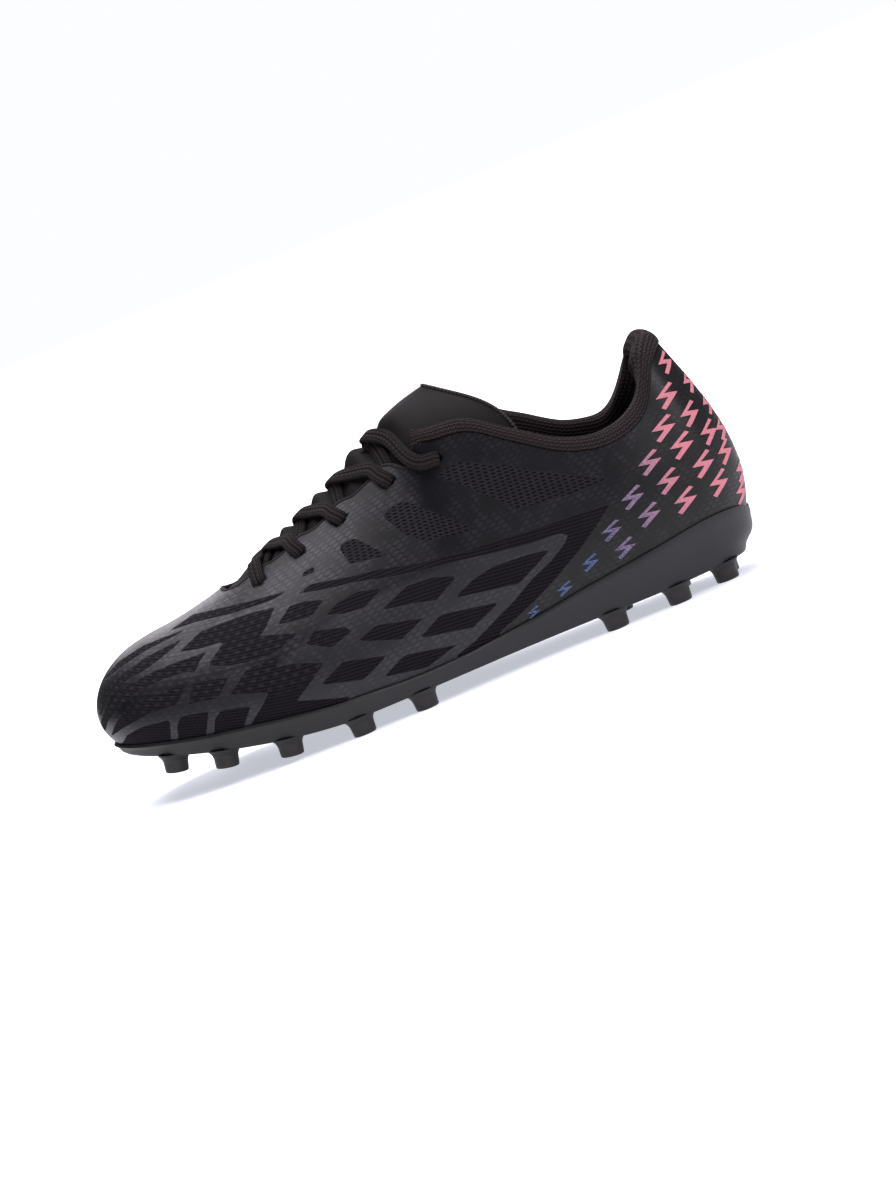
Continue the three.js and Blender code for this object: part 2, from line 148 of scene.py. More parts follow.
# Floor: a matt white studio table that runs out of sight. It glows as painted light: white
# away from the shoe, and dimmer and bluish under it, which lightens and tints the shoe's shadow.
bpy.ops.mesh.primitive_grid_add(x_subdivisions=4, y_subdivisions=4, size=24)
floor = bpy.context.object
floor.name = "floor"
white = begin("studio_white")
far_off = Value.node("VectorMath", {"operation": "LENGTH"}, 1, i0=object_place())
# painted light: the floor's own glow, half strength and bluish near the shoe, full white further off
painted_glow = far_off.step(0.2, 0.7).mix((0.5, 0.52, 0.57, 1), (1.06, 1.03, 1.08, 1))
finish(white, (0.7, 0.71, 0.73, 1), 0.9, Emission_Strength=1.0)
paper = white.node_tree.nodes["Principled BSDF"]
white.node_tree.links.new(painted_glow.socket, paper.inputs["Emission Color"])
floor.data.materials.append(white)

# Studio light: one broad soft box above, one behind for the edges, weak ones in front
for name, place, aim, width, power in (
        ("box_above", (-0.1, 0.1, 1.3), (0, 0, 0.05), 1.1, 25),
        ("box_behind", (-0.3, 1.5, 0.9), (0, 0, 0.06), 1.0, 12),
        ("box_front", (0.45, -1.1, 1.4), (0.05, 0, 0.05), 0.7, 9),
        ("box_heel", (1.3, -0.7, 0.8), (0.08, 0, 0.05), 0.6, 11)):
    bpy.ops.object.light_add(type="AREA", location=place)
    lamp = bpy.context.object
    lamp.name = name
    lamp.data.size = width
    lamp.data.energy = power
    lamp.data.color = (1, 0.965, 1.025)
    lamp.rotation_euler = (Vector(aim) - Vector(place)).to_track_quat("-Z", "Y").to_euler()
world = bpy.data.worlds.new("studio")
bpy.context.scene.world = world
world.use_nodes = True
Value.tree = world.node_tree
seen = Value.node("LightPath")
sky = world.node_tree.nodes["Background"]
sky.inputs["Color"].default_value = (0.97, 0.985, 1, 1)
Value.tree.links.new((seen * 0.93 + 0.07).socket, sky.inputs["Strength"])

# Upper: one knitted shell, pulled over a last and bonded to the plate. A matt film is
# printed on it, with open cells and mesh panels, and holes are punched for the lace.
# The last is a ring of ribs, as in the part: foot, top and two handles of each.
LENGTH, BALL, INSTEP, HEEL = 260, 92, 90, 95
STUD, SPRING, ROLL_LINE, PLATE, GAP, WALL = 6.5, 17.5, 95, 2.5, 0.3, 1.6
ORIGIN = np.array((-129.956, 0.717, 0))
RIBS = np.array((
    # along, lateral, medial, heading, rim, top along, top lateral, top medial, instep,
    # back lateral, back medial, flare, rise, roof, drop
    (0.019, -0.054, 0.054, 0, 0.24, 0.115, -0.043, 0.043, 0.658, 0, 0, 0.130, 0.42, 0.228, 0.03),
    (0.029, 0.076, 0.185, 22, 0.26, 0.119, -0.043, 0.043, 0.660, 0, 0, 0.136, 0.42, 0.239, 0.03),
    (0.058, 0.201, 0.299, 45, 0.30, 0.131, -0.040, 0.040, 0.667, 0, 0, 0.141, 0.42, 0.261, 0.03),
    (0.104, 0.299, 0.375, 64, 0.35, 0.158, -0.035, 0.035, 0.677, 0, 0, 0.147, 0.41, 0.283, 0.04),
    (0.165, 0.375, 0.418, 75, 0.39, 0.196, -0.027, 0.027, 0.698, 0, 0, 0.152, 0.40, 0.293, 0.05),
    (0.238, 0.429, 0.440, 82, 0.45, 0.242, -0.016, 0.016, 0.733, 0, 0, 0.158, 0.40, 0.283, 0.08),
    (0.315, 0.457, 0.429, 87, 0.45, 0.308, -0.005, 0.005, 0.809, 0, 0, 0.163, 0.40, 0.261, 0.12),
    (0.392, 0.460, 0.391, 92, 0.41, 0.381, 0, 0, 0.898, 0, 0, 0.152, 0.39, 0.239, 0.15),
    (0.469, 0.429, 0.342, 96, 0.35, 0.458, 0, 0, 1.000, 0, 0, 0.150, 0.37, 0.230, 0.17),
    (0.542, 0.383, 0.298, 97, 0.36, 0.531, 0, 0, 1.111, 0, 0, 0.145, 0.36, 0.250, 0.19),
    (0.604, 0.339, 0.268, 95, 0.43, 0.594, 0.228, 0.217, 0, 0.990, 0.995, 0.128, 0.33, 0.110, 0.30),
    (0.669, 0.310, 0.255, 93, 0.53, 0.662, 0.277, 0.266, 0, 0.968, 0.980, 0.125, 0.32, 0.054, 0.33),
    (0.731, 0.293, 0.255, 92, 0.66, 0.719, 0.299, 0.288, 0, 0.868, 0.895, 0.114, 0.32, 0.033, 0.34),
    (0.792, 0.288, 0.261, 91, 0.77, 0.781, 0.304, 0.293, 0, 0.760, 0.790, 0.103, 0.32, 0.027, 0.34),
    (0.854, 0.261, 0.250, 100, 0.88, 0.842, 0.288, 0.283, 0, 0.722, 0.748, 0.103, 0.32, 0.033, 0.34),
    (0.908, 0.190, 0.190, 128, 0.98, 0.896, 0.217, 0.217, 0, 0.771, 0.795, 0.130, 0.32, 0.054, 0.34),
    (0.942, 0.102, 0.102, 155, 0.95, 0.929, 0.133, 0.133, 0, 0.935, 0.940, 0.168, 0.32, 0.100, 0.38),
    (0.954, 0, 0, 180, 0.80, 0.944, 0, 0, 0, 0.995, 0.995, 0.206, 0.32, 0.141, 0.42)))
THROAT_EDGE = np.array(((5, 1), (5.1, 0.93), (5.25, 0.885), (5.5, 0.855), (6, 0.825), (7, 0.81),
                        (8, 0.8), (9, 0.765), (9.4, 0.775), (9.6, 0.83), (9.8, 0.925), (10, 0.94)))
EYELETS = (6.0, 6.9, 7.8, 8.9, 10.2)
LATERAL, MEDIAL = -1, 1


def plate_bottom(along):
    return STUD + SPRING * np.maximum(0, 1 - along / ROLL_LINE) ** 1.5


def unit(vectors):
    return vectors / np.linalg.norm(vectors, axis=-1, keepdims=True)


def rib_controls(row, side):
    along, half_l, half_m, heading, _, top, top_l, top_m, instep, back_l, back_m, *shape = row
    flare, rise, roof, drop = shape
    half, top_half, back_top = ((half_l, top_l, back_l) if side == LATERAL
                                else (half_m, top_m, back_m))
    angle = math.radians(heading)
    outward = np.array((-math.cos(angle), side * math.sin(angle), 0))
    foot = np.array((along * LENGTH, side * half * BALL,
                     plate_bottom(along * LENGTH) + PLATE + GAP))
    top_point = np.array((top * LENGTH, side * top_half * BALL, instep * INSTEP + back_top * HEEL))
    height = np.array((0, 0, top_point[2] - foot[2]))
    return (foot, foot + outward * flare * BALL + height * rise,
            top_point + outward * roof * BALL - height * drop, top_point)


RING = np.array([rib_controls(row, LATERAL) for row in RIBS]
                + [rib_controls(row, MEDIAL) for row in RIBS[-2:0:-1]])


def between(knots, part):
    """A smooth curve from the second of four knots to the third."""
    a, b, c, d = knots
    return (b + part * (c - a) / 2 + part ** 2 * (a - 2.5 * b + 2 * c - d / 2)
            + part ** 3 * (1.5 * (b - c) + (d - a) / 2))


def smooth_path(knots, place, closed=False):
    """Points of a smooth curve through the knots. Place counts knots."""
    count = len(knots)
    first = np.floor(place).astype(int)
    if not closed:
        first = np.clip(first, 0, count - 2)
    part = (place - first).reshape((-1,) + (1,) * (knots.ndim - 1))
    near = [first + k for k in (-1, 0, 1, 2)]
    near = [i % count if closed else np.clip(i, 0, count - 1) for i in near]
    return between([knots[i] for i in near], part)


def bowed(controls, share):
    """Points of a curve with two handles, at a share of the way from its start to its end."""
    start, leaving, arriving, end = controls
    share = np.reshape(share, (-1, 1))
    rest = 1 - share
    return (rest ** 3 * start + 3 * rest ** 2 * share * leaving
            + 3 * rest * share ** 2 * arriving + share ** 3 * end)


def on_rib(side, station, share):
    place = np.where(side == LATERAL, station, len(RING) - station) + 0.0
    return bowed(np.moveaxis(smooth_path(RING, place, True), 1, 0), share)


def last_normal(side, station, share):
    inner = np.minimum(share, 0.98)
    climb = on_rib(side, station, inner + 0.01) - on_rib(side, station, np.maximum(0, inner - 0.01))
    run = on_rib(side, station + 0.02, inner) - on_rib(side, station - 0.02, inner)
    return unit(np.cross(climb, run) * np.reshape(side, (-1, 1)))


def on_last(side, station, share, offset=0.0):
    """Points on the last: the side, the rib's number and the share of its height."""
    side, station, share, offset = (np.array(part, float) for part in np.broadcast_arrays(
        np.atleast_1d(side), station, share, offset))
    normal = last_normal(side, station, share)
    ridge = np.where(station < 10, np.clip((share - 0.97) / 0.03, 0, 1), 0)[:, None]
    normal = unit(normal + ridge * last_normal(-side, station, share))
    return on_rib(side, station, share) + normal * offset[:, None], normal


def rib_length(side, station):
    shares = np.linspace(0, 1, 41)
    points = np.array([on_rib(side, station, np.full(np.shape(station), share))
                       for share in shares])
    return np.linalg.norm(np.diff(points, axis=0), axis=-1).sum(axis=0)


def soft_rise(value, low, high):
    part = np.clip((value - low) / (high - low), 0, 1)
    return part * part * (3 - 2 * part)


def upper_edge(side, station):
    """Share of each rib that the upper covers: to the spine, the lobed throat or the collar."""
    side, station = (np.array(part, float) for part in np.broadcast_arrays(
        np.atleast_1d(side), station))
    height = rib_length(side, station)
    nearest = np.min([abs(eyelet - station) for eyelet in EYELETS], axis=0)
    lobe = np.cos(np.minimum(1, nearest / 0.42) * math.pi / 2) ** 2
    lobe = lobe * soft_rise(station, 5, 6) * (1 - soft_rise(station, 9.35, 10))
    throat = np.minimum(1, np.interp(station, *THROAT_EDGE.T) + lobe * 2.4 / height)
    return np.where(station <= 5, 1, np.where(station >= 10, 1 - 4.5 / height, throat))


def eyelet_share(side, station):
    return upper_edge(side, station)[0] - 7.5 / rib_length(np.array([side]), np.array([station]))[0]


def grid_onto(name, around, up, place, merge=1e-5):
    """A grid primitive moved point by point onto place(u, v), with its doubles merged."""
    bpy.ops.object.select_all(action="DESELECT")
    bpy.ops.mesh.primitive_grid_add(x_subdivisions=around, y_subdivisions=up, size=1)
    piece = bpy.context.object
    piece.name = piece.data.name = name
    flat = np.empty(3 * len(piece.data.vertices))
    piece.data.vertices.foreach_get("co", flat)
    u, v = (np.round((axis + 0.5) * steps) / steps
            for axis, steps in zip(flat.reshape(-1, 3).T, (around, up)))
    points = (place(u, v) + ORIGIN) / 1000
    piece.data.vertices.foreach_set("co", points.ravel())
    bpy.ops.object.mode_set(mode="EDIT")
    bpy.ops.mesh.select_all(action="SELECT")
    bpy.ops.mesh.remove_doubles(threshold=merge)
    bpy.ops.object.mode_set(mode="OBJECT")
    bpy.ops.object.shade_smooth()
    return piece


def apply(piece, kind, **settings):
    """Adds one modifier and applies it."""
    bpy.ops.object.select_all(action="DESELECT")
    piece.select_set(True)
    bpy.context.view_layer.objects.active = piece
    modifier = piece.modifiers.new(kind.lower(), kind)
    for key, value in settings.items():
        setattr(modifier, key, value)
    bpy.ops.object.modifier_apply(modifier=modifier.name)


def joined(pieces):
    """Joins pieces into the first of them."""
    bpy.ops.object.select_all(action="DESELECT")
    for piece in pieces:
        piece.select_set(True)
    bpy.context.view_layer.objects.active = pieces[0]
    bpy.ops.object.join()
    return bpy.context.object


def distances(points):
    """Length of the way to each point of a path."""
    return np.concatenate(([0], np.cumsum(np.linalg.norm(np.diff(points, axis=0), axis=1))))


def weave_map(piece, measure):
    """Makes the grid's own UV map count millimetres, so that a weave keeps its size."""
    layer = piece.data.uv_layers[0]
    flat = np.empty(2 * len(layer.data))
    layer.data.foreach_get("uv", flat)
    layer.name = "weave"
    woven = np.column_stack(measure(*flat.reshape(-1, 2).T))
    piece.data.uv_layers["weave"].data.foreach_set("uv", woven.ravel())


def store(piece, name, values):
    layer = piece.data.attributes.new(name, "FLOAT", "POINT")
    layer.data.foreach_set("value", np.asarray(values, np.float32))


def millimetres(piece):
    flat = np.empty(3 * len(piece.data.vertices))
    piece.data.vertices.foreach_get("co", flat)
    return flat.reshape(-1, 3) * 1000 - ORIGIN


def ring_place(u):
    """Side and station of a share of the way round: outer side first, back on the inner."""
    row = u * 34
    return np.where(row <= 17, LATERAL, MEDIAL), np.where(row <= 17, row, 34 - row)


def upper_skin(u, v):
    side, station = ring_place(u)
    share = v * upper_edge(side, station)
    points, normal = on_last(side, station, share)
    # soft troughs where the forefoot flexes, behind the toe, and one by the heel's foot
    crease = np.zeros(len(u))
    for at, middle, reach, depth in ((4.55, 0.80, 0.16, 0.16), (5.25, 0.62, 0.2, 0.2),
                                     (13.6, 0.13, 0.1, 0.35)):
        slant = station - at - (share - middle) * 1.2
        crease += depth * np.exp(-(slant / 0.17) ** 2) * np.exp(-((share - middle) / reach) ** 2)
    return points - normal * crease[:, None]


ROUND = 396  # steps of the grid round the shoe
upper = grid_onto("upper_shell", ROUND, 84, upper_skin)
outside = BVHTree.FromObject(upper, bpy.context.evaluated_depsgraph_get())
apply(upper, "SOLIDIFY", thickness=WALL / 1000, offset=-1, use_even_offset=True)


def eyelet_punch(side, station):
    """A round punch through the wall, 4.4 mm across."""
    share = eyelet_share(side, station)
    points, normal = on_last(side, station, share, -WALL / 2)
    turned = Vector(normal[0]).to_track_quat("Z", "Y").to_euler()
    bpy.ops.object.select_all(action="DESELECT")
    bpy.ops.mesh.primitive_cylinder_add(vertices=28, radius=0.0022, depth=0.006,
                                        location=(points[0] + ORIGIN) / 1000, rotation=turned)
    return bpy.context.object


punches = [eyelet_punch(side, station) for side in (LATERAL, MEDIAL) for station in EYELETS]
punch = joined(punches)
apply(upper, "BOOLEAN", object=punch, operation="DIFFERENCE", solver="MANIFOLD")
bpy.data.objects.remove(punch)

# weave map: millimetres round the last and up from the plate, for knit and film grain
way_round = np.linspace(0, 1, ROUND + 1)
side_of, station_of = ring_place(way_round)
run_round = distances(on_rib(side_of, station_of, np.full(ROUND + 1, 0.45)))
covered = rib_length(side_of, station_of) * upper_edge(side_of, station_of)
weave_map(upper, lambda u, v: (np.interp(u, way_round, run_round),
                               v * np.interp(u, way_round, covered)))


# print map: millimetres along the shoe and above the ground, as the camera sees the outer
# side. The inner side carries the same print, mirrored.
WIDE, HIGH = 896, 1195  # the camera's frame, in its pixels
SCALE = 2.7115  # its pixels to a millimetre of the shoe
TILT = math.radians(24)  # the ground's slope in the frame
TOE_AT, GROUND_AT = 210, 822.2  # where the toe and the ground are, along and across that slope
FOCUS = camera.data.lens / camera.data.sensor_width * HIGH
eye = np.array(looked_at + back * distance)
sight = np.array((right, above, back))


def seen_place(points):
    outer_side = points * (1, 0, 1) - np.abs(points[:, 1:2]) * (0, 1, 0)
    seen_from = ((outer_side + ORIGIN) / 1000 - eye) @ sight.T
    x = WIDE / 2 - FOCUS * seen_from[:, 0] / seen_from[:, 2]
    y = HIGH / 2 + FOCUS * seen_from[:, 1] / seen_from[:, 2]
    run = x * math.cos(TILT) - y * math.sin(TILT)
    rise = -x * math.sin(TILT) - y * math.cos(TILT)
    return np.column_stack(((run + TOE_AT) / SCALE, (rise + GROUND_AT) / SCALE))


def off_path(places, path):
    """Distance from a broken line."""
    nearest = np.full(len(places), 1e3)
    for start, end in zip(np.array(path[:-1], float), np.array(path[1:], float)):
        run = end - start
        share = np.clip(((places - start) @ run) / (run @ run), 0, 1)[:, None]
        nearest = np.minimum(nearest, np.linalg.norm(places - start - share * run, axis=1))
    return nearest


def within(places, outline):
    """Distance inside a closed outline, negative outside it."""
    within_it = np.zeros(len(places), bool)
    for (x0, y0), (x1, y1) in zip(outline, (*outline[1:], outline[0])):
        crosses = (y0 > places[:, 1]) != (y1 > places[:, 1])
        with np.errstate(divide="ignore", invalid="ignore"):
            edge_at = (x1 - x0) * (places[:, 1] - y0) / (y1 - y0 if y1 != y0 else 1e-9) + x0
        within_it ^= crosses & (places[:, 0] < edge_at)
    reach = off_path(places, (*outline, outline[0]))
    reach = np.where(within_it, reach, -reach)
    # a convex outline keeps its corners sharp as the least distance inside its sides
    corners = np.array(outline, float)
    sides = np.roll(corners, -1, axis=0) - corners
    after = np.roll(sides, -1, axis=0)
    if (sides[:, 0] * after[:, 1] - sides[:, 1] * after[:, 0] < 0).all():
        inward = unit(np.column_stack((sides[:, 1], -sides[:, 0])))
        reach = np.min([(places - corner) @ normal
                        for corner, normal in zip(corners, inward)], axis=0)
    return reach


# cells of open knit that the film leaves free, as outlines from corner to corner
open_cells = (
    # toe: a low row of three, and bands that run round above it
    ((5.4, 33), (10, 36.5), (16.4, 37), (26, 35.4), (26.4, 34.6), (22.5, 24), (4, 24)),
    ((30.7, 34.7), (41, 32.4), (34, 20), (25, 22), (28.2, 32)),
    ((45.4, 30.7), (56, 27.7), (47, 18), (37, 19), (42.1, 28.8)),
    ((4.3, 38.4), (7, 41.3), (10, 43.4), (14.3, 45.2), (20, 46.1), (30, 45.3), (36.4, 45.2),
     (35, 42.4), (31.4, 39.3), (20, 40.4), (9.3, 39.5)),
    ((40, 43.4), (43, 43.4), (52.9, 40.6), (45.7, 35.2), (35, 37.7)),
    ((50.7, 34.5), (60, 40.5), (71, 40.5), (72, 39.2), (70.5, 37), (80, 34.5), (87, 31.2), (80, 27),
     (72.2, 22.6), (80, 19.6), (91, 15.8), (80, 12), (51, 14), (51.4, 20.2), (59.3, 25.6),
     (64, 29.5), (61.5, 30.6)),
    ((1.4, 42.7), (4.3, 46.3), (10, 50.6), (17.9, 53), (27, 53.8), (35.7, 53.6), (49.3, 52.7),
     (45.7, 50.6), (42.1, 47.4), (38.6, 49), (30, 49.9), (20, 49.5), (11.4, 47.4), (5.7, 44.1),
     (2.9, 40.6)),
    ((40, 56.6), (50, 60.2), (60, 59.9), (71.4, 58.8), (78.9, 57.4), (73, 52), (69.6, 49.9),
     (82.5, 45.3), (80, 44), (71, 41.5), (62, 42.9), (55, 44.5), (47.5, 47.4), (52, 50.5),
     (57, 53.6), (48, 54.6)),
    ((4.3, 48.4), (10, 54.1), (17.9, 57.7), (28.6, 59.9), (42.9, 60.6), (38.6, 58.8), (27, 55.9),
     (17.9, 54.9), (10, 52), (3.6, 47)),
    ((10.7, 59.1), (17.9, 62.4), (28.6, 64.2), (40, 63.8), (47.1, 63.1), (40, 62.7), (30, 62.2),
     (20, 60.7), (11.4, 58.4)),
    ((39.6, 65.2), (50, 67.2), (60, 65.3), (71.4, 63.1), (86, 61), (78.6, 60.2), (64.3, 61.6),
     (50, 64.3)),
    # midfoot: slanting cells between narrow bars
    ((77.3, 51.1), (84.1, 55.5), (90.5, 54.7), (96.4, 52.5), (90, 48.8), (83.6, 49.7)),
    ((95, 47), (100.9, 49.5), (109, 50.2), (117.7, 47.5), (109, 43.8), (101.8, 44.7)),
    ((83.6, 40.2), (88.6, 43.4), (99.5, 40.2), (101.4, 37.9), (92.3, 35.2)),
    ((114.5, 40.4), (126.4, 44.7), (137, 43.6), (145, 40.6), (134.5, 35.6), (126.4, 37.9)),
    ((101.8, 33.4), (110, 36.1), (127.3, 31.5), (116.8, 27.6)),
    ((140.9, 33.6), (150, 37), (159, 38.4), (172.7, 37), (180, 35.6), (172.7, 32), (164.5, 28.8)),
    ((123.2, 25.2), (133.6, 30), (155.5, 25.5), (142.7, 20.9)),
    ((82.7, 24.3), (93.6, 28.8), (109.5, 24.3), (98.2, 19.7)),
    ((105, 17.5), (115.5, 21.8), (134.5, 17.5), (121.4, 14.3)),
    # quarter: a long sliver that turns back along the heel's film
    ((88.6, 58.4), (94.5, 59.7), (110, 56.1), (120, 54.3), (133.6, 50.6), (150, 47.9), (161, 46.5),
     (179, 44.7), (200, 42.5), (207.3, 42), (200, 37), (190, 31), (179, 25.6), (170, 21.5),
     (161, 18.4), (151.8, 15.6), (147, 12), (132.7, 12.5), (132.7, 13.8), (141.8, 16), (151.8, 20.2),
     (161, 23.8), (170, 28.4), (179, 31.5), (186.4, 35.6), (188.6, 37.9), (185.5, 39.7),
     (174.5, 40.6), (161, 42.9), (150, 45.2), (133.6, 47.9), (121, 50.6), (110, 53.8), (100, 55.6)),
)
# panels of open mesh below the lacing and the collar
mesh_panels = (
    ((92.3, 64.7), (97.7, 65.5), (98.4, 63.4), (92.7, 63.4)),
    ((109.3, 67.9), (112.7, 69.1), (116.4, 68.5), (125, 57.9), (110.9, 60.6)),
    ((129, 71.5), (130, 73), (138.5, 74), (159, 53.2), (140, 56.5), (134, 62)),
    ((152.5, 77.5), (161, 79), (167, 76.8), (177.5, 71), (188, 64), (201, 56.5), (211.5, 50),
     (197, 51), (176, 53.8), (168, 62), (160, 71)),
)
# the heel's smooth film, and the bars that are printed a shade lighter
heel_film = ((262, 110), (262, 6), (140, 6), (161, 18.4), (179, 25.6), (200, 37), (208, 42),
             (222, 52), (232, 66), (238, 80), (240, 110))
light_bars = ((3, 30), (4, 40), (14, 42), (60, 42), (66, 36), (100, 46), (150, 46), (190, 42),
              (188, 34), (140, 12), (60, 10), (20, 20))
places = seen_place(millimetres(upper))
cells = np.max([within(places, cell) for cell in open_cells], axis=0)
panels = np.max([within(places, panel) for panel in mesh_panels], axis=0)
store(upper, "film", -np.maximum(cells, panels))
store(upper, "mesh", panels)
store(upper, "heel", within(places, heel_film))
store(upper, "along", places[:, 0])
store(upper, "lattice", within(places, light_bars))


def colour(code):
    """A web colour as the shader's linear one."""
    parts = [int(code[i:i + 2], 16) / 255 for i in (1, 3, 5)]
    return (*(c / 12.92 if c < 0.04 else ((c + 0.055) / 1.055) ** 2.4 for c in parts), 1)


def noise(scale, detail):
    """Soft random value, its scale in grains per millimetre."""
    return Value.node("TexNoise", Vector=object_place(), Scale=scale * 1000, Detail=detail)


def stored(name):
    return Value.node("Attribute", {"attribute_name": name}, 2)


def axes_of(places):
    """The x and y of a vector, as two Values."""
    return [Value.node("SeparateXYZ", output=axis, Vector=places) for axis in (0, 1)]


def weave_axes():
    """Millimetres along and across the piece's own weave map."""
    return axes_of(Value.node("UVMap", {"uv_map": "weave"}))


def along_shoe():
    """Millimetres from the toe, as a Value."""
    return axes_of(object_place())[0] * 1000 - float(ORIGIN[0])


upper_material = begin("knit_and_film")
around, upward = weave_axes()
film_mask = stored("film").step(-0.12, 0.12)
mesh_mask = stored("mesh").step(-0.15, 0.15)
heel_mask = stored("heel").step(-0.4, 0.4)
lattice_mask = stored("lattice").step(-1.5, 1.5)
TURN = 2 * math.pi
# plain knit: fine slanting stitches, and raised dots in staggered rows near the toe
course = Value.math("SINE", (upward + around * 0.1) * (TURN / 1.3))
wale = Value.math("SINE", (around + upward * 0.5) * (TURN / 1.5)) * 0.4 + 0.6
stitch = course * wale


def spots(pitch, rise, wide, high, slant=0.0):
    """Soft oval spots, one row half a pitch beside the next: 1 in the middle of each."""
    line = Value.math("FLOOR", upward / rise)
    x = (Value.math("FRACT", (around + upward * slant) / pitch + line * 0.5) - 0.5) * (pitch / wide)
    y = (Value.math("FRACT", upward / rise) - 0.5) * (rise / high)
    return 1 - (x * x + y * y).step(0.15, 1.15)


toe_mask = 1 - stored("along").step(78, 100)
dots = spots(4.4, 2.6, 1.3, 0.85) * toe_mask * upward.step(12, 24)
# open mesh: short dark slots between knitted rows
slots = spots(2.6, 1.3, 1.05, 0.42, 0.9)
# film: matt, with short swells pressed through it from the knit below, with painted highlights on
# them
grain = noise(2.5, 3)
cloud = noise(0.03, 2)
patchy = noise(0.16, 1)
swell = spots(3.4, 1.75, 1.6, 0.85, -0.5) * patchy.step(0.3, 0.7)
knit_light = (stitch * 0.45 + 0.4 + patchy * 0.2).step(0, 1)
knit_tone = knit_light.mix(colour("#030204"), colour("#1d191f"))
knit_tone = (dots * 0.55).mix(knit_tone, colour("#2c292d"))
mesh_tone = (slots + patchy * 0.3).mix(colour("#232125"), colour("#020202"))
# painted highlight: both film tones are coloured lighter on the swells, where their gloss would
# glint
film_dark = (swell * 0.5 + cloud * 0.55).step(0.1, 1.1).mix(colour("#08070b"), colour("#16131a"))
film_light = (swell * 0.35 + cloud * 0.45).step(0.1, 1.1).mix(colour("#1f1e22"), colour("#2a292d"))
film_tone = lattice_mask.mix(film_dark, film_light)
film_tone = (dots * 0.12).mix(film_tone, colour("#454347"))
film_tone = heel_mask.mix(film_tone, (cloud * 0.6).mix(colour("#0a090a"), colour("#1a191a")))
base = film_mask.mix(mesh_mask.mix(knit_tone, mesh_tone), film_tone)
rough = 0.9 - film_mask * (0.46 + heel_mask * 0.04) + grain * 0.06
knit_height = (1 - mesh_mask) * (stitch * 0.3 + dots * 0.6 + 0.3) + mesh_mask * (1 - slots) * 1.5
film_height = 0.75 + swell * (0.27 - heel_mask * 0.14 - toe_mask * 0.1) + dots * 0.2 + grain * 0.05
relief = (1 - film_mask) * knit_height + film_mask * film_height
shine = upper_material.node_tree.nodes["Principled BSDF"]
gloss = film_mask * (0.22 + swell * 0.22)
upper_material.node_tree.links.new(gloss.socket, shine.inputs["Coat Weight"])
finish(upper_material, base, rough, relief, 0.34, Specular_IOR_Level=0.13, Coat_Roughness=0.4)
upper.data.materials.clear()
upper.data.materials.append(upper_material)
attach(upper, "root")
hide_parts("upper")

# Flashes: zig-zag prints on the heel, thin colour film in four slanting rows. They run from
# blue at the waist to pink at the heel, on both sides.
FLASH_FILM = 0.00014  # metres from the upper to the print's face
flash_outline = ((3.2, 4.5), (-4.9, 0.35), (0.0, -0.75), (-4.6, -3.5), (-3.3, -4.7),
                 (4.85, -0.1), (-0.95, 1.15), (4.65, 3.5))
# where each flash is: millimetres along the shoe and above the ground, on the print map
flash_rows = ((247.5, 81.5), (243, 70), (236.8, 59.5), (227, 50), (216, 40.8), (204, 32.8),
              (192, 25.2), (179.5, 20.2), (165.5, 17), (252.3, 71.5), (248, 60.5), (240.5, 51),
              (230.5, 41), (219, 32.5), (206, 25), (255.3, 61.5), (251.6, 51.5), (245, 41.5),
              (233.5, 32), (256.4, 51), (254.2, 42.5), (247.5, 32.8), (256.6, 34), (253.8, 26.5))


def on_outside(along, above_ground, side):
    """Where the line of sight to a seen place meets the upper's outside."""
    run = along * SCALE - TOE_AT
    rise = above_ground * SCALE - GROUND_AT
    x = run * math.cos(TILT) - rise * math.sin(TILT)
    y = -run * math.sin(TILT) - rise * math.cos(TILT)
    aim = np.array(((x - WIDE / 2) / FOCUS, (HIGH / 2 - y) / FOCUS, -1)) @ sight
    middle = ORIGIN[1] / 1000  # the inner side is seen as in a mirror
    mirror = np.array((1, -side, 1))
    start = (eye - (0, middle, 0)) * mirror + (0, middle, 0)
    hit, normal, *_ = outside.ray_cast(Vector(start), Vector(aim * mirror))
    return hit, normal


flashes = []
for side in (LATERAL, MEDIAL):
    for along, above_ground in flash_rows:
        hit, normal = on_outside(along, above_ground, side)
        if hit is None:
            continue
        if normal.y * side < 0:
            normal = -normal
        scale = np.interp(along, (160, 190, 215, 240), (0.5, 0.72, 0.92, 1.02))
        tall = np.interp(along, (190, 245), (0.8, 0.96))
        rise = Vector((0, 0, 1)) - normal * normal.z
        rise.normalize()
        run = rise.cross(normal) * -side
        bpy.ops.object.select_all(action="DESELECT")
        bpy.ops.mesh.primitive_circle_add(vertices=8, radius=0.003, fill_type="NGON")
        flash = bpy.context.object
        for vertex, (x, z) in zip(flash.data.vertices, flash_outline):
            vertex.co = hit + (run * x + rise * z * tall) * (scale / 1000)
        bpy.ops.object.mode_set(mode="EDIT")
        bpy.ops.mesh.select_all(action="SELECT")
        bpy.ops.mesh.quads_convert_to_tris()
        for _ in range(3):
            bpy.ops.mesh.subdivide(number_cuts=1)
        bpy.ops.object.mode_set(mode="OBJECT")
        for vertex in flash.data.vertices:
            near, outward, *_ = outside.find_nearest(vertex.co)
            if outward.dot(normal) < 0:
                outward = -outward
            vertex.co = near + outward * FLASH_FILM
        flashes.append(flash)
flash_print = joined(flashes)
flash_print.name = flash_print.data.name = "flash_print"
flash_material = begin("flash_film")
run_along = along_shoe()
ramp = run_along.step(196, 216).mix(colour("#4b5d86"), colour("#7d6883"))
ramp = run_along.step(218, 242).mix(ramp, colour("#c2757f"))
speck = noise(2.2, 1).step(0.42, 0.62)
faded = speck * (0.75 - run_along.step(205, 240) * 0.55)
finish(flash_material, faded.mix(ramp, colour("#1c1a1e")), 0.6, speck, 0.04, Specular_IOR_Level=0.3)
flash_print.data.materials.append(flash_material)
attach(flash_print, "root")

